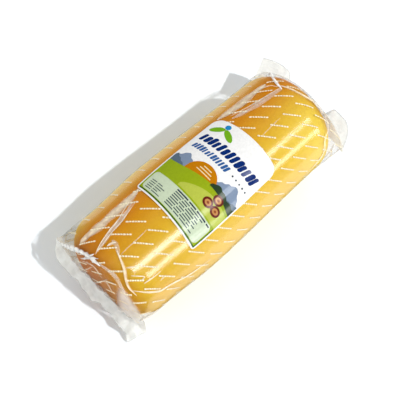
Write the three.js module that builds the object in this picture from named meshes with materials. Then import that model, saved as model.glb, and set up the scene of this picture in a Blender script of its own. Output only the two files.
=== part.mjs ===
// A log of smoked scamorza in a tight clear bag, sealed flat at both ends, with a curved label
// on its upper side. Millimetres. +X runs along the log, +Z is up, and the origin is on the floor
// under the middle of the log.
import * as THREE from "three";
import { LoftGeometry } from "three/addons/geometries/LoftGeometry.js";

// Log
const LOG_LENGTH = 246;
const LOG_RADIUS = 50;
const LOG_BELLY = 3; // how much the radius grows from the shoulders to the thickest place
const BELLY_X = -35; // the thickest place along the log
const SHOULDER_RADIUS = 26;
const BODY_HALF = LOG_LENGTH / 2 - SHOULDER_RADIUS;
const AXIS_HEIGHT = 47; // less than the radius, so the log lies on a flat strip
const FLOOR = 0;

// Closing of the bag round the ends
const SHOULDER_TURN = THREE.MathUtils.degToRad(62); // how far round it the film follows the log
const WEB_SHARPNESS = 0.775; // exponent of the section at the end of the shoulder, 0.5 being round
const ROOT_STANDOFF = 1.5; // the seal starts this far out from the end of the log
const FIN_HALF_THICKNESS = 0.6;
const LOWEST_FIN_HEIGHT = 2.5;

// Seal fins. Each has a left side, towards +Y, and a right side, towards -Y. The film leaves the
// log's side towards each ear by webWidening, and an ear can have a pointed tip. The middle turns
// into an ear between earStart and earFull, which are shares of the half width.
const NEAR_FIN = {
  direction: -1,
  rootHeight: 37,
  length: 22,
  droop: THREE.MathUtils.degToRad(73),
  rippleHeight: 1.6,
  ripplePhase: 0.6,
  left: {
    rootWidth: 57, edgeWidth: 55, webWidening: 4,
    lift: 10, cornerCut: 0.25, setback: 3, droopKept: 0.95, tip: 0,
    earStart: 0.42, earFull: 0.62,
  },
  right: {
    rootWidth: 47, edgeWidth: 48, webWidening: -2,
    lift: -24, cornerCut: 0.9, setback: 7, droopKept: 0.8, tip: 10,
    earStart: 0.7, earFull: 0.85,
  },
};
const FAR_FIN = {
  direction: 1,
  rootHeight: 42,
  length: 27,
  droop: THREE.MathUtils.degToRad(36),
  rippleHeight: 1.8,
  ripplePhase: 2.1,
  left: {
    rootWidth: 53, edgeWidth: 64.5, webWidening: 4,
    lift: 7, cornerCut: 0.1, setback: 7, droopKept: 0.1, tip: 0,
    earStart: 0.5, earFull: 0.6,
  },
  right: {
    rootWidth: 54, edgeWidth: 52, webWidening: 4,
    lift: -7, cornerCut: 0.85, setback: 2, droopKept: 0.1, tip: 0,
    earStart: 0.2, earFull: 0.4,
  },
};
const RIPPLES_ACROSS = 2.5;
const TIP_PLACE = 0.86; // share of the half width at which a tip stands out
const TIP_SPREAD = 0.1;

// Label
const LABEL_WIDTH = 72.5; // round the log
const LABEL_LENGTH = 101; // along the log
const LABEL_FLARE = 0.001; // stretch along the log, per millimetre towards the right side
const LABEL_NEAR_CORNER = 3;
const LABEL_FAR_CORNER = 8.5;
const LABEL_FAR_BOW = 2; // the middle of the far edge stands this far out from its ends
const LABEL_THICKNESS = 0.4;
const LABEL_CLEARANCE = 0.3;
const LABEL_CENTRE_X = -5.75;
const LABEL_CENTRE_ANGLE = THREE.MathUtils.degToRad(12.3); // from the top towards -Y
const LABEL_TWIST = THREE.MathUtils.degToRad(0.9);

// Fineness
const SECTION_POINTS = 64;
const BODY_SECTIONS = 12;
const SHOULDER_STEPS = 6;
const GATHER_STEPS = 6;
const FIN_STEPS = 5;
const LABEL_STRIPS = 24;
const LABEL_STEPS = 8;

const { lerp, smoothstep } = THREE.MathUtils;

function signedPower(value, exponent) {
  return Math.sign(value) * Math.abs(value) ** exponent;
}

// The log's radius at a place along its straight part.
function bodyRadius(x) {
  const toShoulder = x < BELLY_X ? BODY_HALF + BELLY_X : BODY_HALF - BELLY_X;
  const share = Math.min(1, Math.abs(x - BELLY_X) / toShoulder);
  return LOG_RADIUS + LOG_BELLY * Math.cos((share * Math.PI) / 2) ** 2;
}

// A closed section of the bag across the log. sharpness 0.5 is an ellipse, and more draws the two
// sides out thin.
function acrossSection(x, leftWidth, rightWidth, halfHeight, sharpness) {
  const points = [];
  for (let i = 0; i < SECTION_POINTS; i++) {
    const angle = (i / SECTION_POINTS) * 2 * Math.PI;
    const height = AXIS_HEIGHT + halfHeight * signedPower(Math.sin(angle), 2 * sharpness);
    const across = Math.cos(angle);
    const width = across > 0 ? leftWidth : rightWidth;
    points.push(new THREE.Vector3(x, width * across, Math.max(height, FLOOR)));
  }
  return points;
}

// The film over the rounded shoulder of the log, from progress 0 at its start to 1.
function shoulderSection(fin, progress) {
  const turn = progress * SHOULDER_TURN;
  const out = LOG_LENGTH / 2 - SHOULDER_RADIUS * (1 - Math.sin(turn));
  const halfHeight = LOG_RADIUS - SHOULDER_RADIUS * (1 - Math.cos(turn));
  const leftWidth = LOG_RADIUS + fin.left.webWidening * progress;
  const rightWidth = LOG_RADIUS + fin.right.webWidening * progress;
  const sharpness = lerp(0.5, WEB_SHARPNESS, progress ** 2);
  return acrossSection(fin.direction * out, leftWidth, rightWidth, halfHeight, sharpness);
}

// A section of the flat seal, from progress 0 at its root to 1 at its free edge, where the two
// faces meet.
function finSection(fin, progress) {
  const points = [];
  for (let i = 0; i < SECTION_POINTS; i++) {
    const angle = (i / SECTION_POINTS) * 2 * Math.PI;
    const across = Math.cos(angle);
    const ear = Math.abs(across);
    const side = across > 0 ? fin.left : fin.right;
    const tip = side.tip * Math.max(0, 1 - Math.abs(ear - TIP_PLACE) / TIP_SPREAD);
    const reach = progress * (fin.length * (1 - side.cornerCut * ear ** 6) + tip);
    const droop = fin.droop * lerp(1, side.droopKept, smoothstep(ear, side.earStart, side.earFull));
    const wave = Math.sin(across * RIPPLES_ACROSS * Math.PI + fin.ripplePhase);
    const ripple = fin.rippleHeight * progress * wave;
    const thickness = progress < 1 ? FIN_HALF_THICKNESS * Math.sin(angle) : 0;
    const rootOut = LOG_LENGTH / 2 + ROOT_STANDOFF - side.setback * ear ** 4;
    const out = rootOut + reach * Math.cos(droop) + (ripple + thickness) * Math.sin(droop);
    const rootHeight = fin.rootHeight + side.lift * ear ** 3;
    const middle = rootHeight - reach * Math.sin(droop) + ripple * Math.cos(droop);
    const height = Math.max(middle, LOWEST_FIN_HEIGHT) + thickness * Math.cos(droop);
    const width = lerp(side.rootWidth, side.edgeWidth, progress);
    points.push(new THREE.Vector3(fin.direction * out, width * across, height));
  }
  return points;
}

// The film drawn in from the shoulder to the root of the seal, hugging the end of the log.
function gatherSection(fin, progress) {
  const start = shoulderSection(fin, 1);
  const root = finSection(fin, 0);
  const outProgress = 1 - (1 - progress) ** 3;
  return start.map((from, i) => new THREE.Vector3(
    lerp(from.x, root[i].x, outProgress),
    lerp(from.y, root[i].y, progress),
    lerp(from.z, root[i].z, progress),
  ));
}

// Sections of one end, from the straight part of the log out to the free edge of the fin.
function endSections(fin) {
  const sections = [];
  for (let i = 0; i <= SHOULDER_STEPS; i++) {
    sections.push(shoulderSection(fin, i / SHOULDER_STEPS));
  }
  for (let i = 1; i < GATHER_STEPS; i++) {
    sections.push(gatherSection(fin, i / GATHER_STEPS));
  }
  for (let i = 0; i <= FIN_STEPS; i++) {
    sections.push(finSection(fin, i / FIN_STEPS));
  }
  return sections;
}

function wrappedLogGeometry() {
  const body = [];
  for (let i = 1; i < BODY_SECTIONS; i++) {
    const x = lerp(-BODY_HALF, BODY_HALF, i / BODY_SECTIONS);
    const radius = bodyRadius(x);
    body.push(acrossSection(x, radius, radius, radius, 0.5));
  }
  return new LoftGeometry([...endSections(NEAR_FIN).reverse(), ...body, ...endSections(FAR_FIN)]);
}

// A point of the label, from its place on the flat sheet and its height over the bag.
function labelPoint(side, along, height) {
  const flared = along * (1 + LABEL_FLARE * side);
  const arc = side * Math.cos(LABEL_TWIST) - flared * Math.sin(LABEL_TWIST);
  const x = LABEL_CENTRE_X + side * Math.sin(LABEL_TWIST) + flared * Math.cos(LABEL_TWIST);
  const angle = LABEL_CENTRE_ANGLE + arc / LOG_RADIUS;
  const radius = bodyRadius(x) + LABEL_CLEARANCE + height;
  return new THREE.Vector3(x, -radius * Math.sin(angle), AXIS_HEIGHT + radius * Math.cos(angle));
}

// How far the label reaches from its middle to one end, less at the rounded corners.
function labelReach(side, corner, bow) {
  const intoCorner = Math.max(0, Math.abs(side) - (LABEL_WIDTH / 2 - corner));
  const inset = corner - Math.sqrt(corner ** 2 - intoCorner ** 2);
  return LABEL_LENGTH / 2 - inset - bow * ((2 * side) / LABEL_WIDTH) ** 2;
}

// A strip across the label's thin sheet: out along its inner face and back along its outer face.
function labelSection(side, edge) {
  const nearEdge = -labelReach(side, LABEL_NEAR_CORNER, 0);
  const farEdge = labelReach(side, LABEL_FAR_CORNER, LABEL_FAR_BOW);
  const outer = edge ? LABEL_THICKNESS / 2 : LABEL_THICKNESS;
  const inner = edge ? LABEL_THICKNESS / 2 : 0;
  const there = [];
  const back = [];
  for (let i = 0; i <= LABEL_STEPS; i++) {
    const along = lerp(nearEdge, farEdge, i / LABEL_STEPS);
    there.push(labelPoint(side, along, inner));
    back.push(labelPoint(side, along, outer));
  }
  return [...there, ...back.reverse()];
}

function labelGeometry() {
  const sections = [];
  for (let i = 0; i <= LABEL_STRIPS; i++) {
    const turn = (i / LABEL_STRIPS - 0.5) * Math.PI; // closer strips at the rounded corners
    sections.push(labelSection((LABEL_WIDTH / 2) * Math.sin(turn), i === 0 || i === LABEL_STRIPS));
  }
  return new LoftGeometry(sections);
}

function namedMesh(name, geometry, look) {
  const mesh = new THREE.Mesh(geometry, new THREE.MeshStandardMaterial(look));
  mesh.name = name;
  return mesh;
}

const scamorza = new THREE.Group();
scamorza.name = "smoked_scamorza";
scamorza.add(
  namedMesh("wrapped_log", wrappedLogGeometry(), { color: 0xe3a52f, roughness: 0.25, metalness: 0 }),
  namedMesh("label", labelGeometry(), { color: 0xe9ecea, roughness: 0.35, metalness: 0 }),
);

export default scamorza;
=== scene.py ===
"""A log of smoked scamorza in a clear printed bag with a curved label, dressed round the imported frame.

Sizes are millimetres until a mesh is made. +X runs along the log, +Z is up. The near end is at -X.
A place on the film is given by its station and its lean. The station is 0 at the middle of the log,
1 where the shoulder starts, 2 where the film leaves the shoulder, 3 at the root of the seal and 4 at
its free edge. The lean is the angle round the log from the top towards -Y.
"""

import math
from collections import namedtuple

import bmesh
import bpy
import numpy as np
from mathutils import Matrix, Vector


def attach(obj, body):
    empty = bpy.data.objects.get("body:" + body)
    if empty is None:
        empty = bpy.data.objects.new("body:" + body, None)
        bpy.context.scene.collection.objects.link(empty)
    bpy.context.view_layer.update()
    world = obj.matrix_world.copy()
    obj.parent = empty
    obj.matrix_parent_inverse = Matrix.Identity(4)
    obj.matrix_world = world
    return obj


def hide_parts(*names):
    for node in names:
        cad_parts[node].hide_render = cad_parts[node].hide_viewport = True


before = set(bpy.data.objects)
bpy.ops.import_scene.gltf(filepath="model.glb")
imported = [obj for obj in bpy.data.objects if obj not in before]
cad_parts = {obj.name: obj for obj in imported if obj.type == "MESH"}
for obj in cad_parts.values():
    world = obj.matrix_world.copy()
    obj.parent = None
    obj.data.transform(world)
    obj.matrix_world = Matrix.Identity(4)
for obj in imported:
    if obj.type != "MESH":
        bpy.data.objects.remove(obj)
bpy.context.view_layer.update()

MM = 0.001
BODY = "root"

# Log, as in the solid
LOG_LENGTH = 246
LOG_RADIUS = 50
LOG_BELLY = 3
BELLY_X = -35
SHOULDER_RADIUS = 26
AXIS_HEIGHT = 47
FLOOR = 0
BODY_HALF = LOG_LENGTH / 2 - SHOULDER_RADIUS

# Closing of the bag at its NEAR and FAR ends, as in the solid but with thinner, crinkled fins
SHOULDER_TURN = math.radians(62)
ROUND_SHARPNESS = 0.5
WEB_SHARPNESS = 0.775
ROOT_STANDOFF = 1.5
FIN_HALF_THICKNESS = 0.25
LOWEST_FIN_HEIGHT = 2.5
GATHER_SPAN = 50
RIPPLES_ACROSS = 2.5
TIP_PLACE = 0.86
TIP_SPREAD = 0.1
NEAR = dict(
    direction=-1, root_height=37, length=22, droop=math.radians(73),
    ripple_height=1.6, ripple_phase=0.6, crinkle=4.5, ragged=0.4,
    left=dict(
        root_width=57, edge_width=55, web_widening=4, lift=10, corner_cut=0.25,
        setback=3, droop_kept=0.95, tip=0, ear_start=0.42, ear_full=0.62,
    ),
    right=dict(
        root_width=47, edge_width=48, web_widening=-2, lift=-24, corner_cut=0.9,
        setback=7, droop_kept=0.8, tip=10, ear_start=0.7, ear_full=0.85,
    ),
)
FAR = dict(
    direction=1, root_height=42, length=27, droop=math.radians(36),
    ripple_height=1.8, ripple_phase=2.1, crinkle=1.2, ragged=0.08,
    left=dict(
        root_width=53, edge_width=64.5, web_widening=4, lift=7, corner_cut=0.1,
        setback=7, droop_kept=0.1, tip=0, ear_start=0.5, ear_full=0.6,
    ),
    right=dict(
        root_width=54, edge_width=52, web_widening=4, lift=-7, corner_cut=0.85,
        setback=2, droop_kept=0.1, tip=0, ear_start=0.2, ear_full=0.4,
    ),
)

# Fineness of the film, and how close points merge, in metres
FILM_POINTS = 320
STATION_STEPS = (52, 18, 30, 36)
WELD = 1e-6
FILM_WELD = 5e-6

# Relief of the film. A pair of places says where a change begins and where it is complete.
Waves = namedtuple("Waves", "seed length count", defaults=(6,))
WAVE_LENGTHS = (0.7, 1.5)
SLACK = Waves(seed=3, length=34)
SLACK_DEPTH = 0.12
SLACK_STRETCH = (0.22, 1, 1)
CRINKLES = Waves(seed=11, length=24)
CRINKLE_DEPTH = 1.3
CRINKLE_REACH = (98, 121)
FIN_STATIONS = (2.75, 3.05)
FIN_CRINKLES = Waves(seed=23, length=9, count=3)
FIN_RAGS = Waves(seed=31, length=9)
FACE_SHARPNESS = 6
CALM_EDGE = (3.85, 4)
CALM_FLOOR = (0.5, 6)
CRIMP_DEPTH = 0.14
CRIMP_PITCH = 2.4
CRIMP_STATIONS = (3.1, 3.2)

# Milky parts of the film, from clear to full, by station and by lean in radians or its sine
SEAL_ATTRIBUTE = "seal"
SEAL_STATIONS = (2.85, 3.1)
NEAR_DOUBLED_STATIONS = (1.85, 2.1)
NEAR_DOUBLED_LEANS = (0.42, 0.7)
NEAR_DOUBLED_END = math.pi / 2
FAR_EAR_STATIONS = (1.8, 2.3)
FAR_EAR_LEANS = (0.3, 0.8)
FAR_EAR_END = 2
WEB_STATIONS = (1.9, 2.3)
WEB_SINES = (0.72, 0.9)
WEB_MILK = 0.8
END_STATIONS = (1.95, 2.3)
END_MILK = 0.1

# Folds of the film
CREST_ATTRIBUTE = "crest"
FOLD_SIDES = 12
FOLD_SUNK = 0.2
FOLD_UNEVEN = 0.35
FOLD_WAVES = Waves(seed=41, length=14)
RUFFLES = Waves(seed=43, length=5, count=2)
PATH_STEPS = 14
HIDDEN_LEANS = (-150, -128, -104, -88, 112, 134, 156)
HIDDEN_SPREAD = 6
HIDDEN_DRIFT = 9
HIDDEN_PATH = ((2.5, 0), (1.9, 0.3), (1.5, 0.5))
HIDDEN_SEED = 17
EDGE_STATION = 3.98
EDGE_LEANS = range(-88, 89, 8)

# Cheese
CHEESE_GAP = 0.6
CHEESE_POINTS = 192
CHEESE_BODY_RINGS = 50
CHEESE_SHOULDER_RINGS = 20
CHEESE_CAP_RINGS = 8
CHEESE_LUMP = 0.3
CHEESE_LUMPS = Waves(seed=5, length=45)
CHEESE_OUTWARDS = (0.3, 1, 1)

# Marks printed on the film: slanting rows of rounded dashes, drawn round the log on its left flank
MARK_LEANS = (*range(-20, 141, 20), *range(-49, -200, -24))
MARK_END_LEANS = (-40, 60)
MARK_END_SHARE = 0.8
MARK_STEP = 15.8
MARK_SLANT = 45
MARK_FLANK_SLANT = 85
MARK_FLANK_START = (20, 49)
MARK_FLANK_END = (80, 125)
MARK_DASHES = (2.6, 1.9, 2.3, 1.8, 2.6, 1.9, 2.3)
MARK_DASH_GAP = 0.2
MARK_RINGS = 7
MARK_HALF_HEIGHT = 0.68
MARK_LOW = 0.05
MARK_HIGH = 0.12

# Label, as in the solid
LABEL_WIDTH = 72.5
LABEL_LENGTH = 101
LABEL_FLARE = 0.001
LABEL_NEAR_CORNER = 3
LABEL_FAR_CORNER = 8.5
LABEL_FAR_BOW = 2
LABEL_CLEARANCE = 0.3
LABEL_CENTRE_X = -5.75
LABEL_CENTRE_LEAN = math.radians(12.3)
LABEL_TWIST = math.radians(0.9)
LABEL_SHEET = 0.25
LABEL_STRIP = 2.5
LABEL_RUN = 6
LABEL_OUTLINE_POINTS = 61
LABEL_WHITE = (229, 228, 227)

# Print of the label, in places from its middle: side to side, and along from bottom to top
INK_LAYER = 0.05
INK_SUNK_LAYER = 0.01
INK_SHINE = 0.5
DULL_SHINE = 0.04
PRINT_EDGE = 34.9
PRINT_FOOT = -49
HILL_HEIGHT = -8
HILL_SWELL = 3
HILL_SHIFT = 10
HILL_LENGTH = 13
FAR_SUMMITS = ((-25, 16, 15), (23, 22, 17))
NEAR_SUMMITS = ((-33, 13, 9), (34, 14, 9))
SUMMIT_REACH = 0.97
JAG_HEIGHT = 0.5
JAG_RATE = 1.3
HEDGE_START = 6
HEDGE_RISE = 9
HEDGE_FOOT = 1.5
HEDGE_HEIGHT = 3.4
SUN_PLACE = -4
SUN_HEIGHT = -9
SUN_RADIUS = 15
SUN_RIGHT = 0.96
SUN_BAR_WIDTHS = (15, 12, 8)
SUN_BAR_BOTTOM = -4
SUN_BAR_STEP = 2.7
MEADOW_FOOT = -26
MEADOW_LENGTH = 47
MEADOW_REACH = 0.98
MEADOW_UNDER_HILL = 4
TIMBER_PLACES = ((15, -17.5), (24.3, -17.5), (19.7, -9.7))
BAR_ROUNDING = 0.35
STROKE_LEAN = 0.28
STROKE_ROUNDING = 0.45
SMALL_PRINT_LINES = 7
SMALL_PRINT_TOP = -32.2
SMALL_PRINT_STEP = 2.15
WIDE_COLUMN = -8
NARROW_COLUMN = -30
NARROW_DROP = 0.4
DOTS = 5
DOT_STEP = 4.2
DOT_START = (13, 13.5)

# Camera, as in the photo
VIEW_AZIMUTH = math.radians(-44.5)
VIEW_ELEVATION = math.radians(62)
VIEW_DISTANCE = 800
VIEW_TARGET = (0, 0, 48)
VIEW_PIXELS_PER_MM = 1.14
VIEW_PIXELS = 400
TARGET_PIXEL = (205, 191)

# Lamps, in metres and degrees. A strip is a long lamp beside the log, and a glow lies on the floor.
KEY_WAY = (0.17, -0.56, 0.79)
KEY_STRENGTH = 2.1
KEY_SPREAD = 1.5
STRIP_DISTANCE = 1
STRIP_WIDTH = 0.15
STRIPS = (
    dict(name="high_strip", elevation=43.2, ends=(-0.5, 0.59), radiance=7, drop=0.06),
    dict(name="low_strip", elevation=16.5, ends=(-0.1, 0.635), radiance=5.2, drop=0.22),
)
GLOWS = (
    dict(name="close_glow", left=-0.06, right=-0.18, ends=(-0.12, 0.3), radiance=1),
    dict(name="right_glow", left=-0.18, right=-0.7, ends=(-0.1, 0.6), radiance=0.3),
    dict(name="left_glow", left=0.5, right=0.09, ends=(-0.1, 0.6), radiance=0.8),
)

# Studio and floor
STUDIO_COLOUR = (0.99, 1, 0.985, 1)
STUDIO_HORIZON = 1.8
STUDIO_ZENITH = 0.2
FLOOR_HALF = 4000
FLOOR_DROP = -0.2

Fold = namedtuple("Fold", "end stops half_width height skew ruffle", defaults=(0, 0))
Ink = namedtuple("Ink", "name colour layer outlines shine", defaults=(INK_SHINE,))


# Small maths


def lerp(start, end, share):
    return start + (end - start) * share


def smooth(value, low, high):
    share = np.clip((value - low) / (high - low), 0, 1)
    return share * share * (3 - 2 * share)


def signed_power(value, exponent):
    return np.sign(value) * np.abs(value) ** exponent


def unit(vectors, least=1e-12):
    return vectors / np.maximum(np.linalg.norm(vectors, axis=-1, keepdims=True), least)


def points_of(x, y, z):
    return np.stack(np.broadcast_arrays(x, y, z), axis=-1).astype(float)


def wave_phases(points, waves):
    """Phases of waves in random directions, each about the given length, one after another."""
    draw = np.random.default_rng(waves.seed)
    for _ in range(waves.count):
        way = unit(draw.normal(size=3))
        yield points @ way / (waves.length * draw.uniform(*WAVE_LENGTHS)) + draw.uniform()


def crumple(points, waves):
    """Flat facets with sharp creases between them, from 0 to 1."""
    return sum(np.abs(2 * (phase % 1) - 1) for phase in wave_phases(points, waves)) / waves.count


def swell(points, waves):
    """Soft swellings from -1 to 1."""
    return sum(np.sin(2 * np.pi * phase) for phase in wave_phases(points, waves)) / waves.count


def smooth_path(stops, count):
    """Points along a smooth curve through the stops."""
    stops = np.asarray(stops, float)
    slope = np.gradient(stops, axis=0)
    place = np.linspace(0, len(stops) - 1, count)
    first = np.minimum(place.astype(int), len(stops) - 2)
    share = (place - first)[:, None]
    blend = share * share * (3 - 2 * share)
    line = lerp(stops[first], stops[first + 1], blend)
    push = share * (1 - share) ** 2 * slope[first] - share**2 * (1 - share) * slope[first + 1]
    return line + push


# Shape of the film


def belly(x):
    """How much the radius grows towards the thickest place of the log."""
    to_shoulder = np.where(x < BELLY_X, BODY_HALF + BELLY_X, BODY_HALF - BELLY_X)
    share = np.minimum(1, np.abs(x - BELLY_X) / to_shoulder)
    return LOG_BELLY * np.cos(share * np.pi / 2) ** 2


def of_side(end, angle, name):
    """A size of the fin's left or right side, whichever the angle is on."""
    return np.where(np.cos(angle) > 0, end["left"][name], end["right"][name])


def shoulder_point(end, progress, angle, radius):
    turn = progress * SHOULDER_TURN
    out = LOG_LENGTH / 2 - SHOULDER_RADIUS * (1 - np.sin(turn))
    half_height = radius - SHOULDER_RADIUS * (1 - np.cos(turn))
    half_width = radius + of_side(end, angle, "web_widening") * progress
    exponent = 2 * lerp(ROUND_SHARPNESS, WEB_SHARPNESS, progress**2)
    height = AXIS_HEIGHT + half_height * signed_power(np.sin(angle), exponent)
    return points_of(end["direction"] * out, half_width * np.cos(angle), np.maximum(height, FLOOR))


def fin_reach(end, progress, angle):
    """How far the fin reaches from its root, less at its cut corners, more at a tip, and ragged."""
    across = np.cos(angle)
    ear = np.abs(across)
    along_edge = points_of(end["length"], end["left"]["edge_width"] * across, 0)
    ragged = 1 + end["ragged"] * (crumple(along_edge, FIN_RAGS) - 0.5)
    tip = of_side(end, angle, "tip") * np.maximum(0, 1 - np.abs(ear - TIP_PLACE) / TIP_SPREAD)
    cut = of_side(end, angle, "corner_cut") * ear**6
    return progress * (end["length"] * (1 - cut) + tip) * ragged


def fin_point(end, progress, angle):
    across = np.cos(angle)
    ear = np.abs(across)

    def side(name):
        return of_side(end, angle, name)

    reach = fin_reach(end, progress, angle)
    into_ear = smooth(ear, side("ear_start"), side("ear_full"))
    droop = end["droop"] * lerp(1, side("droop_kept"), into_ear)
    wave = np.sin(across * RIPPLES_ACROSS * np.pi + end["ripple_phase"])
    ripple = end["ripple_height"] * progress * wave
    thickness = FIN_HALF_THICKNESS * np.sin(angle) * (1 - progress**8)
    root_out = LOG_LENGTH / 2 + ROOT_STANDOFF - side("setback") * ear**4
    out = root_out + reach * np.cos(droop) + (ripple + thickness) * np.sin(droop)
    root_height = end["root_height"] + side("lift") * ear**3
    middle = root_height - reach * np.sin(droop) + ripple * np.cos(droop)
    height = np.maximum(middle, LOWEST_FIN_HEIGHT) + thickness * np.cos(droop)
    width = lerp(side("root_width"), side("edge_width"), progress)
    return points_of(end["direction"] * out, width * across, height)


def bare_film(end, station, angle):
    """The film without its relief."""
    station, angle = np.broadcast_arrays(np.asarray(station, float), np.asarray(angle, float))
    x_of_body = end["direction"] * BODY_HALF * station
    along = shoulder_point(end, np.clip(station - 1, 0, 1), angle, LOG_RADIUS + belly(x_of_body))
    along[..., 0] = np.where(station < 1, x_of_body, along[..., 0])
    gather = np.clip(station - 2, 0, 1)
    fin = fin_point(end, np.clip(station - 3, 0, 1), angle)
    share = points_of(1 - (1 - gather) ** 3, gather, gather)
    return lerp(along, fin, share)


def film_normal(end, station, angle):
    nudge = 1e-4
    along = bare_film(end, station + nudge, angle) - bare_film(end, station - nudge, angle)
    around = bare_film(end, station, angle + nudge) - bare_film(end, station, angle - nudge)
    return unit(end["direction"] * np.cross(around, along))


def fin_relief(end, station, angle, points):
    """Crinkles and crimps of a seal fin, on both of its faces alike, and none at its free edge."""
    face = np.tanh(FACE_SHARPNESS * np.sin(angle))
    edge = 1 - smooth(station, *CALM_EDGE)
    bend = end["crinkle"] * (crumple(points, FIN_CRINKLES) - 0.5)
    reach = (station - 3) * end["length"]
    crimp = CRIMP_DEPTH * np.sin(2 * np.pi * reach / CRIMP_PITCH) * smooth(station, *CRIMP_STATIONS)
    return face * edge * (bend + crimp)


def film_relief(end, station, angle, points):
    """How far the film stands out from its bare shape: slack on the log, crinkles at its ends."""
    slack = SLACK_DEPTH * swell(points * np.array(SLACK_STRETCH), SLACK)
    on_fin = smooth(station, *FIN_STATIONS)
    ends = smooth(np.abs(points[..., 0]), *CRINKLE_REACH) * (1 - on_fin)
    crinkle = CRINKLE_DEPTH * ends * crumple(points, CRINKLES)
    clear_of_floor = smooth(points[..., 2], *CALM_FLOOR)
    on_log = slack * (1 - on_fin) + crinkle
    return (on_log + on_fin * fin_relief(end, station, angle, points)) * clear_of_floor


def film_frame(end, station, lean):
    """Points on the film and its outward normals."""
    angle = np.pi / 2 + lean
    points = bare_film(end, station, angle)
    normal = film_normal(end, station, angle)
    relief = film_relief(end, station, angle, points)
    return points + normal * relief[..., None], normal


def station_at(distance):
    """The station at a distance along the film from the middle of the log."""
    shoulder = SHOULDER_RADIUS * SHOULDER_TURN
    stops = (-BODY_HALF, BODY_HALF, BODY_HALF + shoulder, BODY_HALF + shoulder + GATHER_SPAN)
    return np.interp(distance, stops, (-1, 1, 2, 3))


# Meshes


def add_object(name, data):
    made = bpy.data.objects.new(name, data)
    bpy.context.scene.collection.objects.link(made)
    return made


def add_piece(name, mesh, material):
    mesh.materials.append(material)
    return add_object(name, mesh)


def mesh_from(name, points, faces, material):
    mesh = bpy.data.meshes.new(name)
    mesh.from_pydata((np.asarray(points).reshape(-1, 3) * MM).tolist(), [], faces)
    mesh.polygons.foreach_set("use_smooth", [True] * len(mesh.polygons))
    mesh.update()
    return add_piece(name, mesh, material)


def tube_faces(rings, points, first=0):
    """Faces between rings of points, each ring closed on itself."""
    ring, point = np.meshgrid(np.arange(rings - 1), np.arange(points), indexing="ij")
    after = (point + 1) % points
    low = ring * points
    high = low + points
    corners = (low + point, low + after, high + after, high + point)
    return (np.stack(corners, axis=-1).reshape(-1, 4) + first).tolist()


def weld(made, distance=WELD):
    """Merges points that coincide and turns all faces outwards."""
    work = bmesh.new()
    work.from_mesh(made.data)
    bmesh.ops.remove_doubles(work, verts=work.verts, dist=distance)
    bmesh.ops.dissolve_degenerate(work, edges=work.edges, dist=distance)
    bmesh.ops.recalc_face_normals(work, faces=work.faces)
    work.to_mesh(made.data)
    work.free()
    return made


def joined_tubes(name, tubes, material):
    """One piece from several closed tubes, each an array of rings of points."""
    points, faces, first = [], [], 0
    for rings in tubes:
        points.append(rings.reshape(-1, 3))
        faces += tube_faces(*rings.shape[:2], first)
        first += len(points[-1])
    return mesh_from(name, np.concatenate(points), faces, material)


def set_attribute(made, name, values):
    """Gives each point of a mesh a number that its material reads."""
    made.data.attributes.new(name, "FLOAT", "POINT").data.foreach_set("value", np.ravel(values))


# Materials


def linear(red, green, blue):
    """A linear colour from the 0 to 255 values of a picture."""
    shares = [value / 255 for value in (red, green, blue)]
    return [s / 12.92 if s <= 0.04045 else ((s + 0.055) / 1.055) ** 2.4 for s in shares] + [1]


class Shading:
    """The node tree of a new material."""

    def __init__(self, name):
        self.material = bpy.data.materials.new(name)
        self.material.use_nodes = True
        self.tree = self.material.node_tree
        self.tree.nodes.clear()
        self.place = self.add("TexCoord").outputs["Object"]

    def add(self, kind, inputs=None, **settings):
        node = self.tree.nodes.new("ShaderNode" + kind)
        for name, value in settings.items():
            setattr(node, name, value)
        for name, value in (inputs or {}).items():
            self.feed(node.inputs[name], value)
        return node

    def feed(self, socket, value):
        if isinstance(value, bpy.types.NodeSocket):
            self.tree.links.new(value, socket)
        else:
            socket.default_value = value

    def combined(self, kind, *values, **settings):
        """The result of a new node whose sockets in use are fed with values in their order."""
        node = self.add(kind, **settings)
        for socket, value in zip([s for s in node.inputs if s.enabled], values):
            self.feed(socket, value)
        return next(s for s in node.outputs if s.enabled)

    def noise(self, scale, detail, stretch=(1, 1, 1)):
        mapped = self.add("Mapping", {"Vector": self.place, "Scale": stretch})
        inputs = {"Vector": mapped.outputs["Vector"], "Scale": scale, "Detail": detail}
        return self.add("TexNoise", inputs).outputs["Fac"]

    def ranged(self, value, from_low, from_high, to_low, to_high):
        limits = {"From Min": from_low, "From Max": from_high, "To Min": to_low, "To Max": to_high}
        return self.add("MapRange", {"Value": value, **limits}).outputs["Result"]

    def mixed(self, share, first, second):
        return self.combined("Mix", share, first, second, data_type="RGBA")

    def maths(self, operation, *values):
        return self.combined("Math", *values, operation=operation)

    def axis(self, name):
        return self.add("SeparateXYZ", {"Vector": self.place}).outputs[name]

    def attribute(self, name):
        return self.add("Attribute", attribute_name=name).outputs["Fac"]

    def surface(self, inputs):
        return self.add("BsdfPrincipled", inputs).outputs[0]

    def mix_shaders(self, share, first, second):
        return self.combined("MixShader", share, first, second)

    def finish(self, shader):
        self.add("OutputMaterial", {"Surface": shader})
        return self.material

    def finish_veil(self, cover, colour, roughness):
        """Finishes a pale layer that covers a share of what lies behind it."""
        clear = self.add("BsdfTransparent").outputs[0]
        pale = self.surface({"Base Color": linear(*colour), "Roughness": roughness})
        return self.finish(self.mix_shaders(cover, clear, pale))


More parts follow.
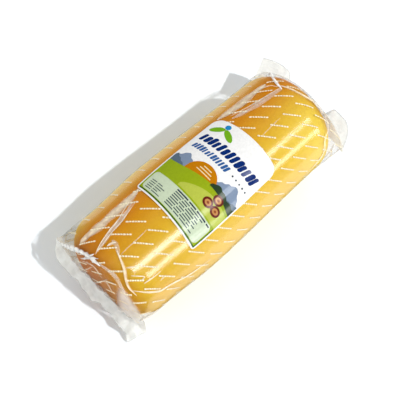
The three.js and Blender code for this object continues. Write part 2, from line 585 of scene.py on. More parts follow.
def rind_colour(make, clouds):
    """Amber above, with painted light and shade: yellower on the lit right, paler on its flank, shaded at
    its near end, a highlight at its far end, a glow on the left flank, brown shade at the ends.
    """
    x, y = make.axis("X"), make.axis("Y")
    # Yellower towards the right: painted light where the key falls, varied by the clouds.
    right = make.ranged(y, 0.009, -0.029, 0, 1)
    painted_lit_side_and_clouds = make.maths("ADD", right, make.ranged(clouds, 0.3, 0.7, -0.12, 0.12))
    colour = make.mixed(painted_lit_side_and_clouds, linear(221, 141, 12), linear(233, 195, 45))
    # Painted sheen: paler yellow on the right flank, where reflected light veils the film.
    right_flank_painted_sheen = make.ranged(y, -0.038, -0.05, 0, 0.6)
    colour = make.mixed(right_flank_painted_sheen, colour, linear(238, 196, 82))
    # Painted shade: darker towards the near end on the right side.
    near_right_painted_shade = make.maths("MULTIPLY", right, make.ranged(x, -0.03, -0.085, 0, 0.35))
    colour = make.mixed(near_right_painted_shade, colour, linear(206, 152, 28))
    # Painted highlight: paler yellow on the right of the far shoulder.
    far_right_painted_highlight = make.maths("MULTIPLY", right, make.ranged(x, 0.055, 0.095, 0, 0.48))
    colour = make.mixed(far_right_painted_highlight, colour, linear(250, 226, 96))
    # Painted glow: golden left flank, standing in for light from the pale floor on the left.
    left_flank_painted_glow = make.ranged(y, 0.026, 0.044, 0, 1)
    colour = make.mixed(left_flank_painted_glow, colour, linear(255, 217, 90))
    # Painted shade: browner towards both ends, where the end faces turn away from the light.
    ends_painted_shade = make.ranged(make.maths("ABSOLUTE", x), 0.108, 0.124, 0, 0.75)
    return make.mixed(ends_painted_shade, colour, linear(204, 116, 34))


def cheese_material():
    """A smoked rind with soft clouds of colour, painted light and shade, fine speckles and grain."""
    make = Shading("smoked_rind")
    clouds = make.noise(22, 4, (0.5, 1, 1))
    speckle = make.ranged(make.noise(420, 2), 0.35, 0.7, 0, 0.12)
    grain = {"Height": make.noise(260, 4), "Strength": 0.25, "Distance": 0.0004}
    return make.finish(make.surface({
        "Base Color": make.mixed(speckle, rind_colour(make, clouds), linear(168, 92, 18)),
        "Roughness": make.ranged(clouds, 0.3, 0.7, 0.4, 0.55),
        "Normal": make.add("Bump", grain).outputs["Normal"],
        "Specular IOR Level": 0.15,
    }))


def film_material():
    """Clear film, glossy from both faces, milky at the seals, with faint streaks of haze along it."""
    make = Shading("clear_film")
    clear = make.add("BsdfTransparent", {"Color": (0.97, 0.97, 0.97, 1)}).outputs[0]
    gloss = make.add("BsdfGlossy", {"Roughness": 0.18}).outputs[0]
    facing = make.add("LayerWeight", {"Blend": 0.5}).outputs["Facing"]
    mirrored = make.ranged(make.maths("POWER", facing, 5.0), 0, 1, 0.14, 0.25)
    shiny = make.mix_shaders(mirrored, clear, gloss)
    streaks = make.ranged(make.noise(60, 3, (0.3, 1, 1)), 0.4, 0.75, 0.0, 0.02)
    milk = make.ranged(make.noise(90, 2), 0.3, 0.7, 0.72, 0.95)
    haze = make.maths("ADD", streaks, make.maths("MULTIPLY", make.attribute(SEAL_ATTRIBUTE), milk))
    pale = linear(247, 247, 244)
    white = make.surface({"Base Color": pale, "Roughness": 0.3})
    lit_through = make.add("BsdfTranslucent", {"Color": pale}).outputs[0]
    return make.finish(make.mix_shaders(haze, shiny, make.mix_shaders(0.35, white, lit_through)))


def fold_material(name, colour, skirt, crest):
    """Film folded several layers thick: whitish along the crest, clearer towards its edges."""
    make = Shading(name)
    cover = make.ranged(make.attribute(CREST_ATTRIBUTE), 0, 1, skirt, crest)
    uneven = make.ranged(make.noise(190, 3), 0.3, 0.7, 0.55, 1)
    return make.finish_veil(make.maths("MULTIPLY", cover, uneven), colour, roughness=0.2)


def print_material():
    """White ink on the film, thin enough to let a little of the cheese's colour through."""
    make = Shading("film_ink")
    cover = make.ranged(make.noise(700, 2), 0.3, 0.7, 0.6, 0.85)
    return make.finish_veil(cover, colour=(255, 246, 214), roughness=0.35)


def ink_material(name, colour, shine=INK_SHINE):
    """Glossy printed paper in one ink, faintly uneven."""
    make = Shading(name)
    tone = linear(*colour)
    darker = [channel * 0.8 for channel in tone[:3]] + [1]
    uneven = make.ranged(make.noise(500, 3), 0.3, 0.7, 0, 0.5)
    return make.finish(make.surface({
        "Base Color": make.mixed(uneven, tone, darker),
        "Roughness": make.ranged(make.noise(90, 2), 0.3, 0.7, 0.13, 0.18),
        "Specular IOR Level": shine,
    }))


def floor_material():
    make = Shading("pale_floor")
    speck = make.ranged(make.noise(40, 2), 0.3, 0.7, 0, 1)
    colour = make.mixed(speck, linear(242, 247, 253), linear(244, 249, 254))
    return make.finish(make.surface({"Base Color": colour, "Roughness": 0.8}))


# Cheese and bag


def cheese_profile():
    """Places along the log and its radius there, without the belly, from one end to the other."""
    radius = LOG_RADIUS - CHEESE_GAP
    half = LOG_LENGTH / 2 - CHEESE_GAP
    flat = radius - SHOULDER_RADIUS
    turn = np.linspace(0, np.pi / 2, CHEESE_SHOULDER_RINGS)
    body = np.linspace(0, half - SHOULDER_RADIUS, CHEESE_BODY_RINGS)[:-1]
    shoulder = half - SHOULDER_RADIUS * (1 - np.sin(turn))
    round_part = radius - SHOULDER_RADIUS * (1 - np.cos(turn))
    cap = np.linspace(flat, 0, CHEESE_CAP_RINGS + 1)[1:]
    out = np.concatenate([body, shoulder, np.full(CHEESE_CAP_RINGS, half)])
    ring = np.concatenate([np.full(len(body), radius), round_part, cap])
    return np.concatenate([-out[::-1], out[1:]]), np.concatenate([ring[::-1], ring[1:]])


def make_cheese():
    """The log itself, a little smaller than the film, with a flat strip under it and soft lumps."""
    x, ring = cheese_profile()
    ring = ring + belly(x)
    angle = np.linspace(0, 2 * np.pi, CHEESE_POINTS, endpoint=False)
    wide = ring[:, None] * np.cos(angle)
    high = AXIS_HEIGHT + ring[:, None] * np.sin(angle)
    points = points_of(x[:, None], wide, high)
    centre = np.array([0, 0, AXIS_HEIGHT])
    outwards = unit((points - centre) * np.array(CHEESE_OUTWARDS))
    lump = CHEESE_LUMP * swell(points, CHEESE_LUMPS)
    points += outwards * lump[..., None]
    points[..., 2] = np.maximum(points[..., 2], FLOOR + CHEESE_GAP)
    faces = tube_faces(len(x), CHEESE_POINTS)
    return weld(mesh_from("cheese_log", points, faces, cheese_material()))


def milky_share(stations, lean, near_rings):
    """How milky the film is: at the seals, where it is doubled, at the ears and at the left webs."""
    seal = smooth(stations, *SEAL_STATIONS) + 0 * lean
    near, far = stations[:near_rings], stations[near_rings:]
    doubled = smooth(lean, *NEAR_DOUBLED_LEANS) * smooth(near, *NEAR_DOUBLED_STATIONS)
    seal[:near_rings] = np.maximum(seal[:near_rings], doubled * (lean < NEAR_DOUBLED_END))
    ear = smooth(lean, *FAR_EAR_LEANS) * smooth(far, *FAR_EAR_STATIONS)
    seal[near_rings:] = np.maximum(seal[near_rings:], ear * (lean < FAR_EAR_END))
    left_web = smooth(-np.sin(lean), *WEB_SINES) * smooth(stations, *WEB_STATIONS)
    seal = np.maximum(seal, WEB_MILK * left_web)
    return np.maximum(seal, END_MILK * smooth(stations, *END_STATIONS))


def make_film():
    """The bag: one sheet round the log, drawn in and sealed flat at both ends."""
    steps = [np.linspace(i, i + 1, count, endpoint=False) for i, count in enumerate(STATION_STEPS)]
    station = np.append(np.concatenate(steps), len(STATION_STEPS))[:, None]
    lean = np.linspace(0, 2 * np.pi, FILM_POINTS, endpoint=False)[None, :] - np.pi / 2
    near, _ = film_frame(NEAR, station[::-1], lean)
    far, _ = film_frame(FAR, station[1:], lean)
    points = np.concatenate([near, far])
    faces = tube_faces(len(points), FILM_POINTS)
    film = mesh_from("film_bag", points, faces, film_material())
    stations = np.concatenate([station[::-1], station[1:]])
    set_attribute(film, SEAL_ATTRIBUTE, milky_share(stations, lean, len(station)))
    return weld(film, FILM_WELD)


# Folds of the film, each through stops of (station, lean in degrees)


def near_shoulder_ridges():
    """A forked crease on the upper side, a hook, a crease along the right flank and small crinkles, whose
    white crests are partly painted glints.
    """
    hook = ((1.3, 8), (1.41, 18.5), (1.5, 26), (1.64, 32.5), (1.73, 40), (1.68, 52))
    return [
        Fold(NEAR, ((1.85, -5.5), (1.39, -5.5), (0.96, -8.3), (0.79, -12.3), (0.66, -16)), 0.5, 0.6, 0.3),
        Fold(NEAR, ((1.85, -5.5), (1.56, -7.2), (0.99, -11.5), (0.81, -17), (0.66, -23)), 0.6, 0.7, -0.3),
        Fold(NEAR, hook, 1.3, 0.9, -0.4),
        Fold(NEAR, ((1.72, 44), (1.27, 61.5), (0.9, 71.5), (0.7, 78.5), (0.45, 81)), 1.3, 0.8, 0.4),
        # Small crinkles: real ridges, with white crests partly standing in for painted glints.
        Fold(NEAR, ((1.48, 33.5), (1.16, 44.5)), 0.75, 0.5),
        Fold(NEAR, ((1.16, 44.5), (1.35, 45)), 0.6, 0.4),
        Fold(NEAR, ((1.31, 49), (0.9, 51)), 0.85, 0.5),
        Fold(NEAR, ((0.96, 58.5), (0.89, 58)), 0.6, 0.4),
    ]


def near_face_ridges():
    """Creases over the end face, from the seal to the shoulder, and two short ones on the shoulder."""
    return [
        Fold(NEAR, ((2.4, -20), (2.2, -4), (2.35, 8)), 0.7, 0.5),
        Fold(NEAR, ((2.6, 2), (2.3, 14), (2.45, 24)), 0.7, 0.5),
        Fold(NEAR, ((3.1, -28), (2.67, -16), (2.25, -5.5)), 0.6, 0.5),
        Fold(NEAR, ((3.05, -11), (2.55, 4.5), (2.18, 15)), 0.6, 0.5),
        Fold(NEAR, ((2.95, -80), (2.55, -66), (2.35, -52)), 0.6, 0.5),
        Fold(NEAR, ((2.75, -68), (2.4, -50), (2.2, -34)), 0.55, 0.5),
        Fold(NEAR, ((2.5, -56), (2.3, -38), (2.15, -28)), 0.5, 0.4),
        Fold(NEAR, ((1.42, -1.5), (1.26, 0.5), (1.16, 2.5)), 1.1, 0.6),
        Fold(NEAR, ((1.44, 25.5), (1.29, 29.5), (1.13, 34)), 0.9, 0.5),
    ]


def far_ridges():
    """Two creases along the log from the top of the shoulder, and two round it and down the right side."""
    down_the_side = ((1.75, 36), (1.5, 52.5), (1.21, 63), (1.1, 76), (0.94, 85.5), (0.82, 90), (0.7, 92))
    return [
        Fold(FAR, ((1.12, -8), (0.83, -13.5), (0.7, -16), (0.5, -22)), 0.7, 0.6, 0.3),
        Fold(FAR, ((1.09, -11), (0.95, -23), (0.88, -27), (0.72, -28)), 0.6, 0.5),
        Fold(FAR, ((1.14, -13), (1.27, -4), (1.46, 11), (1.7, 24), (1.75, 38)), 1.2, 0.8, 0.3),
        Fold(FAR, down_the_side, 1.1, 0.7),
    ]


def seal_folds():
    """Ruffled white folds from the near left ear to the shoulder, two short ones near the shoulder partly
    painted glints, and a plain one at the far left ear.
    """
    return [
        Fold(NEAR, ((3.05, -84), (2.55, -60), (2.25, -40), (2.1, -22), (2.03, 0)), 1.9, 1.5, 0.3, 1.3),
        Fold(NEAR, ((2.9, -72), (2.42, -50), (2.2, -33), (2.1, -14)), 1.2, 1.6, -0.3, 1.4),
        Fold(NEAR, ((2.32, -44), (2.16, -28), (2.06, -12), (2.02, 4)), 2.6, 1.9, 0.4, 1),
        # Two short folds whose white crests are partly painted glints.
        Fold(NEAR, ((2.36, -22), (2.08, -10), (1.88, -1)), 0.9, 1.3, 0.3, 1.2),
        Fold(NEAR, ((2.2, -17), (2.0, -10), (1.86, -7)), 0.8, 1.1, -0.3, 1.2),
        Fold(FAR, ((1.1, -7), (1.18, -16), (1.45, -30), (2.2, -48)), 1.5, 1.0),
    ]


def flaps_and_painted_highlight_lines():
    """Low, wide and half clear folds beside the creases, and two faint ridges along the log whose pale
    crests are painted highlight lines.
    """
    return [
        Fold(NEAR, ((1.75, -5.5), (1.3, -7), (0.9, -11.5), (0.68, -18)), 2.4, 0.3),
        Fold(NEAR, ((1.2, -2), (1.22, 5), (1.36, 13)), 1.9, 0.4),
        Fold(NEAR, ((2.05, -4), (1.95, 10), (1.88, 22), (1.96, 33), (2.06, 44)), 2.4, 0.6, 0.4),
        Fold(FAR, ((1.1, -7), (0.85, -10.5), (0.68, -13), (0.48, -18)), 3.0, 0.3),
        # Painted highlight lines: low ridges whose pale crests stand in for thin reflections.
        Fold(NEAR, ((1.31, 14), (0.94, 13.5), (0.78, 12.5)), 0.5, 0.2),
        Fold(FAR, ((0.53, 16.5), (0.66, 15.5), (0.8, 14.5)), 0.5, 0.2),
    ]


def painted_reflection_bands():
    """Wide pale bands along the upper left side, nearly flat: a painted reflection of the bright
    surroundings on the left.
    """
    near_stops = ((1.9, -26.5), (1.4, -23.5), (1.05, -22.5), (0.9, -23.5), (0.7, -23), (0.56, -24.5))
    far_stops = ((0.4, -30), (0.55, -28), (0.69, -27), (0.86, -27), (0.99, -25.5))
    return [Fold(NEAR, near_stops, 5.4, 0.06), Fold(FAR, far_stops, 5, 0.06)]


def seal_edges():
    """Thin beads along the free edges of the seals."""
    stops = [(EDGE_STATION, lean) for lean in EDGE_LEANS]
    return [Fold(end, stops, half_width=0.5, height=0.4) for end in (NEAR, FAR)]


def hidden_pleats():
    """Pleats drawn in towards the seals, round the part of each end that faces down and away."""
    draw = np.random.default_rng(HIDDEN_SEED)
    pleats = []
    for end in (NEAR, FAR):
        for place in HIDDEN_LEANS:
            lean = place + draw.uniform(-HIDDEN_SPREAD, HIDDEN_SPREAD)
            drift = draw.uniform(-HIDDEN_DRIFT, HIDDEN_DRIFT)
            inner_station = draw.uniform(0.8, 1.2)
            half_width = draw.uniform(0.8, 1.5)
            height = draw.uniform(0.5, 0.9)
            path = (*HIDDEN_PATH, (inner_station, 1))
            stops = [(station, lean + share * drift) for station, share in path]
            pleats.append(Fold(end, stops, half_width, height))
    return pleats


def pleat(fold):
    """The rings of a fold, a tapered ridge on the film, and for each point 1 at its crest."""
    path = smooth_path(fold.stops, PATH_STEPS * len(fold.stops))
    middle, normal = film_frame(fold.end, path[:, 0], np.radians(path[:, 1]))
    ahead = unit(np.gradient(middle, axis=0))
    side = unit(np.cross(normal, ahead))
    share = np.linspace(0, 1, len(path))
    uneven = 1 + FOLD_UNEVEN * swell(middle, FOLD_WAVES)
    ruffled = 1 + fold.ruffle * (crumple(middle, RUFFLES) - 0.5)
    taper = np.sin(np.pi * share) ** 0.5 * uneven * ruffled
    turn = np.linspace(0, 2 * np.pi, FOLD_SIDES, endpoint=False)
    crest = np.maximum(np.sin(turn), 0)
    rise = fold.height * np.where(np.sin(turn) > 0, crest, FOLD_SUNK * np.sin(turn))
    across = taper[:, None] * fold.half_width * (np.cos(turn) + fold.skew * crest)
    rise = taper[:, None] * rise - across**2 / (2 * LOG_RADIUS)
    rings = middle[:, None] + side[:, None] * across[..., None] + normal[:, None] * rise[..., None]
    rings[..., 2] = np.maximum(rings[..., 2], FLOOR)
    return rings, np.tile(crest**2, len(path))


def make_folds(name, folds, material):
    pleats = [pleat(fold) for fold in folds]
    made = joined_tubes(name, [rings for rings, _ in pleats], material)
    set_attribute(made, CREST_ATTRIBUTE, np.concatenate([crest for _, crest in pleats]))
    return weld(made)


def make_all_folds():
    """One piece for each kind of fold, with its material's name, colour and cover at skirt and crest."""
    ridges = near_shoulder_ridges() + near_face_ridges() + far_ridges()
    kinds = (
        ("film_ridges", ridges, "folded_film", (255, 243, 220), 0.08, 0.85),
        ("film_seal_folds", seal_folds(), "seal_fold_film", (250, 249, 246), 0.7, 0.97),
        ("film_flaps", flaps_and_painted_highlight_lines(), "doubled_film", (250, 246, 238), 0.08, 0.4),
        # A painted reflection along the upper left, as pale film.
        ("film_bands", painted_reflection_bands(), "hazy_film", (250, 240, 216), 0.08, 0.78),
        ("film_hidden_pleats", hidden_pleats(), "pleated_film", (252, 248, 238), 0.08, 0.7),
        ("film_edges", seal_edges(), "sealed_edge", (226, 226, 223), 0.2, 0.6),
    )
    return [make_folds(name, folds, fold_material(*look)) for name, folds, *look in kinds]


# Print on the film


def mark_places():
    """Centres of the printed marks: rows along the log, every second row moved half a step."""
    shoulder_reach = BODY_HALF + SHOULDER_RADIUS * SHOULDER_TURN
    lowest, highest = MARK_END_LEANS
    for row, lean in enumerate(MARK_LEANS):
        on_end_face = lowest <= lean <= highest
        reach = shoulder_reach + MARK_END_SHARE * GATHER_SPAN * on_end_face
        start = -reach + (row % 2) * MARK_STEP / 2
        for along in np.arange(start, reach, MARK_STEP):
            yield along, lean


def mark_slant(lean):
    """The angle of the marks to the log: across the film in front, round the log on its left flank."""
    flank = smooth(-lean, *MARK_FLANK_START) * (1 - smooth(-lean, *MARK_FLANK_END))
    return math.radians(lerp(MARK_SLANT, MARK_FLANK_SLANT, flank))


def dash_outline():
    """Places along a mark and half heights there, for each ring of each dash."""
    lengths = np.array(MARK_DASHES)[:, None]
    starts = np.cumsum(lengths + MARK_DASH_GAP, axis=0) - lengths - MARK_DASH_GAP
    total = starts[-1] + lengths[-1]
    step = -np.cos(np.linspace(0, np.pi, MARK_RINGS))
    along = starts + lengths / 2 * (1 + step) - total / 2
    to_tip = lengths / 2 * (1 - np.abs(step))
    rounding = np.maximum(1 - to_tip / MARK_HALF_HEIGHT, 0)
    return along, MARK_HALF_HEIGHT * np.sqrt(1 - rounding**2)


def make_film_print():
    """The printed marks as thin slabs just above the film."""
    run, half = dash_outline()
    sides = np.array([-1, -1, 1, 1])
    lifts = np.array([MARK_LOW, MARK_HIGH, MARK_HIGH, MARK_LOW])
    across = half[..., None] * sides
    tubes = []
    for along, lean in mark_places():
        slant = mark_slant(lean)
        forward = run[..., None] * math.cos(slant) - across * math.sin(slant)
        around = run[..., None] * math.sin(slant) + across * math.cos(slant)
        end = NEAR if along < 0 else FAR
        station = station_at((along + forward) * end["direction"])
        points, normal = film_frame(end, station, math.radians(lean) + around / LOG_RADIUS)
        tubes += list(points + normal * lifts[:, None])
    return weld(joined_tubes("film_marks", tubes, print_material()))


# Flat shapes for the label


def rounded_box(left, bottom, right, top, radius, corner_points=7):
    corners = ((right - radius, top - radius), (left + radius, top - radius),
               (left + radius, bottom + radius), (right - radius, bottom + radius))
    outline = []
    for quarter, (x, y) in enumerate(corners):
        for turn in np.linspace(quarter, quarter + 1, corner_points) * math.pi / 2:
            outline.append((x + radius * math.cos(turn), y + radius * math.sin(turn)))
    return outline


def oval(x, y, half_width, half_height, tilt=0, sides=28):
    turns = np.arange(sides) * 2 * math.pi / sides
    flat = np.stack([half_width * np.cos(turns), half_height * np.sin(turns)], axis=1)
    turned = flat @ np.array([[math.cos(tilt), math.sin(tilt)], [-math.sin(tilt), math.cos(tilt)]])
    return (turned + (x, y)).tolist()


def between(left, right, lower, upper, steps=40):
    """The area between two curves, from left to right."""
    run = np.linspace(left, right, steps)
    below = [(x, lower(x)) for x in run]
    above = [(x, upper(x)) for x in run[::-1]]
    return below + above


def bars_in_row(left, bottom, height, widths, gap=1):
    row = []
    for width in widths:
        rounding = BAR_ROUNDING * min(width, height)
        row.append(rounded_box(left, bottom, left + width, bottom + height, rounding))
        left += width + gap
    return row


def strokes_in_row(left, right, bottom, height, width, step, seed):
    """Leaning rounded strokes of uneven height, evenly spaced from left to right."""
    draw = np.random.default_rng(seed)
    row = []
    for start in np.arange(left, right, step):
        wide = width * draw.uniform(0.8, 1.25)
        tall = height * draw.uniform(0.76, 1)
        upright = rounded_box(start, bottom, start + wide, bottom + tall, STROKE_ROUNDING * wide)
        row.append([(side + STROKE_LEAN * (along - bottom), along) for side, along in upright])
    return row


# Print of the label: a sun behind hills, a stack of timber, leaves, and bars in place of words


def level_line(height):
    return lambda side: height


def hill(side):
    return HILL_HEIGHT + HILL_SWELL * math.sin((side + HILL_SHIFT) / HILL_LENGTH)


def mountain(place, half_width, height):
    """A peak with jagged slopes on the line of the hill, cut off at the edges of the print."""
    reach = SUMMIT_REACH * half_width

    def top(side):
        slope = height * (1 - abs(side - place) / half_width)
        return hill(side) + slope + min(JAG_HEIGHT, slope / 2) * math.sin(side * JAG_RATE)

    return between(max(-PRINT_EDGE, place - reach), min(PRINT_EDGE, place + reach), hill, top)


def hedge_top(side):
    crown = 1.3 * abs(math.sin(side / 2.6))
    sway = math.sin(side / 5)
    rise = min(1, max(0, (side - HEDGE_START) / HEDGE_RISE)) ** 0.5
    return hill(side) + (HEDGE_HEIGHT + crown + sway) * rise


def hedge_foot(side):
    return hill(side) - HEDGE_FOOT


def sun_top(side):
    return SUN_HEIGHT + math.sqrt(max(0, SUN_RADIUS**2 - (side - SUN_PLACE) ** 2))


def meadow_top(side):
    share = math.sqrt(max(0, 1 - ((PRINT_EDGE - side) / MEADOW_LENGTH) ** 2))
    return lerp(MEADOW_FOOT, hill(side) - MEADOW_UNDER_HILL, share)


def hill_inks():
    edge = PRINT_EDGE
    sun = between(SUN_PLACE - SUN_RADIUS, SUN_PLACE + SUN_RIGHT * SUN_RADIUS, hill, sun_top)
    meadow_start = edge - MEADOW_REACH * MEADOW_LENGTH
    meadow = between(meadow_start, edge, level_line(MEADOW_FOOT), meadow_top)
    return [
        Ink("lime", (140, 160, 22), 1, [between(-edge, edge, level_line(PRINT_FOOT), hill)]),
        Ink("sky", (120, 136, 160), 1, [mountain(*summit) for summit in FAR_SUMMITS]),
        Ink("orange", (180, 112, 8), 2, [sun], DULL_SHINE),
        Ink("mountain", (84, 102, 120), 3, [mountain(*summit) for summit in NEAR_SUMMITS]),
        Ink("forest", (40, 60, 38), 4, [between(HEDGE_START, edge, hedge_foot, hedge_top)]),
        Ink("meadow", (172, 182, 70), 2, [meadow]),
    ]


def panel_inks():
    """The pale panel for the small print, with an edging."""
    panel = rounded_box(-33.2, -47.3, 33, -27.6, 4)
    under = rounded_box(-34.2, PRINT_FOOT, PRINT_EDGE, -47.8, 0.3)
    beside = rounded_box(34, PRINT_FOOT, PRINT_EDGE, -27, 0.4)
    return [Ink("pale", (190, 203, 176), 3, [panel]), Ink("edging", (50, 88, 26), 2, [under, beside])]


def timber_inks():
    return [
        Ink("bark", (96, 22, 18), 5, [oval(x, y, 4.9, 4.3) for x, y in TIMBER_PLACES]),
        Ink("timber", (186, 132, 76), 6, [oval(x, y, 3.0, 2.5) for x, y in TIMBER_PLACES]),
        Ink("heart", (132, 66, 32), 7, [oval(x, y, 1.3, 1.0) for x, y in TIMBER_PLACES]),
    ]


def sun_bars():
    """Level bars across the sun, shorter towards its top."""
    bars = []
    for step, width in enumerate(SUN_BAR_WIDTHS):
        bottom = SUN_BAR_BOTTOM + SUN_BAR_STEP * step
        bars += bars_in_row(SUN_PLACE - width / 2, bottom, height=0.9, widths=(width,))
    return bars


def stroke_inks():
    tall_row = strokes_in_row(left=-32, right=29.5, bottom=20, height=10.6, width=3.7, step=4.75, seed=2)
    low_row = strokes_in_row(left=-31, right=5, bottom=10.4, height=6.6, width=2, step=2.9, seed=9)
    return [
        Ink("cream", (224, 206, 160), 3, sun_bars()),
        Ink("navy", (8, 40, 104), 1, tall_row),
        Ink("blue", (46, 88, 146), 1, low_row),
    ]


def leaf_inks():
    """Two leaves with a round bud, and a row of dots."""
    leaves = [oval(-26, 37.5, 7, 2.9, 0.6), oval(-14, 37.5, 7, 2.9, -0.6)]
    side, along = DOT_START
    dots = [oval(side + DOT_STEP * dot, along, 0.9, 0.9, 0, 10) for dot in range(DOTS)]
    return [
        Ink("leaf", (108, 164, 26), 1, leaves),
        Ink("aqua", (28, 128, 186), 1, [oval(-20, 44.6, 2.7, 2.7)]),
        Ink("grey", (70, 78, 90), 1, dots),
    ]


def small_print_inks():
    """Lines of bars in two columns, the narrow one on the left, and a heading over the wide one."""
    bars = []
    for line in range(SMALL_PRINT_LINES):
        bottom = SMALL_PRINT_TOP - SMALL_PRINT_STEP * line
        widths = (9 - line % 3, 6, 10 - line % 2 * 3, 4)
        bars += bars_in_row(WIDE_COLUMN, bottom, height=1, widths=widths)
        if line > 1:
            widths = (6, 9 - line % 3 * 2)
            bars += bars_in_row(NARROW_COLUMN, bottom - NARROW_DROP, height=0.8, widths=widths)
    heading = bars_in_row(WIDE_COLUMN, bottom=-30.1, height=1.3, widths=(12, 8, 11, 4), gap=1.2)
    return [Ink("small_print", (70, 86, 86), 4, bars), Ink("heading", (38, 52, 68), 4, heading)]


# Label


def label_points(flat):
    """Places on the curved label from flat ones: side to side, bottom to top, and height over its back."""
    side, along, height = flat.T
    along = along * (1 + LABEL_FLARE * side)
    arc = side * math.cos(LABEL_TWIST) - along * math.sin(LABEL_TWIST)
    x = LABEL_CENTRE_X + side * math.sin(LABEL_TWIST) + along * math.cos(LABEL_TWIST)
    lean = LABEL_CENTRE_LEAN + arc / LOG_RADIUS
    radius = LOG_RADIUS + belly(x) + LABEL_CLEARANCE + height
    return points_of(x, -radius * np.sin(lean), AXIS_HEIGHT + radius * np.cos(lean))


def cut_in_strips(work, way, reach, step):
    """Cuts flat faces by lines across a way, so that they can bend."""
    for cut in np.arange(-reach, reach, step)[1:]:
        parts = work.verts[:] + work.edges[:] + work.faces[:]
        bmesh.ops.bisect_plane(work, geom=parts, plane_co=way * cut, plane_no=way)


def label_patch(name, outlines, low, high, material):
    """Flat shapes laid on the curved label as thin slabs between two heights."""
    work = bmesh.new()
    for outline in outlines:
        work.faces.new([work.verts.new((side, along, low)) for side, along in outline])
    cut_in_strips(work, Vector((1, 0, 0)), LABEL_WIDTH / 2, LABEL_STRIP)
    cut_in_strips(work, Vector((0, 1, 0)), LABEL_LENGTH / 2, LABEL_RUN)
    raised = bmesh.ops.extrude_face_region(work, geom=work.faces[:])
    for item in raised["geom"]:
        if isinstance(item, bmesh.types.BMVert):
            item.co.z = high
    bmesh.ops.triangulate(work, faces=work.faces[:])
    flat = np.array([vertex.co[:] for vertex in work.verts])
    for vertex, place in zip(work.verts, label_points(flat)):
        vertex.co = place * MM
    bmesh.ops.recalc_face_normals(work, faces=work.faces)
    mesh = bpy.data.meshes.new(name)
    work.to_mesh(mesh)
    work.free()
    return add_piece(name, mesh, material)


def label_reach(side, corner, bow):
    """How far the label reaches from its middle to one end, less at the rounded corners."""
    into_corner = np.maximum(0, np.abs(side) - (LABEL_WIDTH / 2 - corner))
    inset = corner - np.sqrt(corner**2 - into_corner**2)
    return LABEL_LENGTH / 2 - inset - bow * (2 * side / LABEL_WIDTH) ** 2


def label_outline():
    side = LABEL_WIDTH / 2 * np.sin(np.linspace(-np.pi / 2, np.pi / 2, LABEL_OUTLINE_POINTS))
    far = np.stack([side[::-1], label_reach(side, LABEL_FAR_CORNER, LABEL_FAR_BOW)[::-1]], axis=1)
    near = np.stack([side, -label_reach(side, LABEL_NEAR_CORNER, 0)], axis=1)
    return np.concatenate([near, far]).tolist()


def make_label_sheet():
    white = ink_material("label_white", LABEL_WHITE)
    return label_patch("label_sheet", [label_outline()], 0, LABEL_SHEET, white)


def make_label_inks():
    pieces = []
    inks = hill_inks() + panel_inks() + timber_inks() + stroke_inks() + leaf_inks() + small_print_inks()
    for ink in inks:
        low = LABEL_SHEET + (ink.layer - 1) * INK_SUNK_LAYER
        high = LABEL_SHEET + ink.layer * INK_LAYER
        material = ink_material("ink_" + ink.name, ink.colour, ink.shine)
        pieces.append(label_patch("label_" + ink.name, ink.outlines, low, high, material))
    return pieces


# Stage


def aimed(place, target, along=(1, 0, 0)):
    """A matrix at place whose -Z looks at target and whose X leans to along."""
    place, target = Vector(place), Vector(target)
    back = (place - target).normalized()
    right = (Vector(along) - back * back.dot(Vector(along))).normalized()
    turn = Matrix((right, back.cross(right), back)).transposed().to_4x4()
    return Matrix.Translation(place) @ turn


def add_panel(name, length, width, radiance, place):
    """A flat lamp that only shows mirrored."""
    data = bpy.data.lights.new(name, "AREA")
    data.shape = "RECTANGLE"
    data.size = length
    data.size_y = width
    data.energy = radiance * math.pi * length * width
    made = add_object(name, data)
    made.matrix_world = place
    made.visible_camera = False
    made.visible_diffuse = False


def add_strip(name, elevation, ends, radiance, drop):
    """A long lamp on the log's -Y side, from one X to another, its far end lower by drop."""
    middle = sum(ends) / 2
    length = ends[1] - ends[0]
    turn = math.radians(elevation)
    sine, cosine = math.sin(turn), math.cos(turn)
    along = (length, -drop * sine, -drop * cosine)
    axis = AXIS_HEIGHT * MM
    place = (middle, -STRIP_DISTANCE * cosine, axis + STRIP_DISTANCE * sine)
    add_panel(name, length, STRIP_WIDTH, radiance, aimed(place, (middle, 0, axis), along))


def add_glow(name, left, right, ends, radiance):
    """A lamp on the floor in place of the brighter floor."""
    middle = (sum(ends) / 2, (left + right) / 2)
    place = aimed((*middle, 0), (*middle, 1))
    add_panel(name, ends[1] - ends[0], left - right, radiance, place)


def add_key():
    """A far small lamp, which doesn't show mirrored."""
    data = bpy.data.lights.new("key", "SUN")
    data.energy = KEY_STRENGTH
    data.angle = math.radians(KEY_SPREAD)
    made = add_object("key", data)
    made.matrix_world = aimed(KEY_WAY, (0, 0, 0))
    made.visible_glossy = False


def make_lights():
    add_key()
    for strip in STRIPS:
        add_strip(**strip)
    for glow in GLOWS:
        add_glow(**glow)


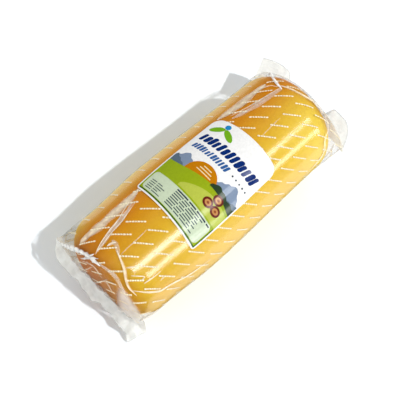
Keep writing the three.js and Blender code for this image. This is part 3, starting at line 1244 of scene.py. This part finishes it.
def make_world():
    """A pale studio whose light comes from low round about, under a dark ceiling."""
    world = bpy.data.worlds.new("studio")
    world.use_nodes = True
    nodes, links = world.node_tree.nodes, world.node_tree.links
    way = nodes.new("ShaderNodeSeparateXYZ")
    links.new(nodes.new("ShaderNodeTexCoord").outputs["Generated"], way.inputs["Vector"])
    fade = nodes.new("ShaderNodeMapRange")
    links.new(way.outputs["Z"], fade.inputs["Value"])
    fade.inputs["To Min"].default_value = STUDIO_HORIZON
    fade.inputs["To Max"].default_value = STUDIO_ZENITH
    links.new(fade.outputs["Result"], nodes["Background"].inputs["Strength"])
    nodes["Background"].inputs["Color"].default_value = STUDIO_COLOUR
    bpy.context.scene.world = world
    world.cycles_visibility.glossy = False


def make_floor():
    half = FLOOR_HALF
    corners = [(x, y, FLOOR_DROP) for x, y in ((-half, -half), (half, -half), (half, half), (-half, half))]
    floor = mesh_from("floor", corners, [(0, 1, 2, 3)], floor_material())
    floor.visible_glossy = False


def make_camera():
    level = math.cos(VIEW_ELEVATION)
    sine, cosine = math.sin(VIEW_AZIMUTH), math.cos(VIEW_AZIMUTH)
    back = Vector((sine * level, -cosine * level, math.sin(VIEW_ELEVATION)))
    right = Vector((cosine, sine, 0))
    up = back.cross(right)
    middle = VIEW_PIXELS / 2
    aside = (middle - TARGET_PIXEL[0]) / VIEW_PIXELS_PER_MM
    above = (TARGET_PIXEL[1] - middle) / VIEW_PIXELS_PER_MM
    target = (Vector(VIEW_TARGET) + right * aside + up * above) * MM
    data = bpy.data.cameras.new("camera")
    data.angle = 2 * math.atan(middle / VIEW_PIXELS_PER_MM / VIEW_DISTANCE)
    camera = add_object("camera", data)
    camera.matrix_world = aimed(target + back * VIEW_DISTANCE * MM, target, right)
    bpy.context.scene.camera = camera


def carry(pieces):
    for piece in pieces:
        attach(piece, BODY)


cheese = make_cheese()
film = make_film()
marks = make_film_print()
folds = make_all_folds()
label = make_label_sheet()
label_inks = make_label_inks()

carry([cheese])
carry([film])
carry([marks])
carry(folds)
carry([label])
carry(label_inks)
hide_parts("wrapped_log")
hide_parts("label")

make_floor()
make_lights()
make_world()
make_camera()
bpy.context.scene.view_settings.view_transform = "Standard"
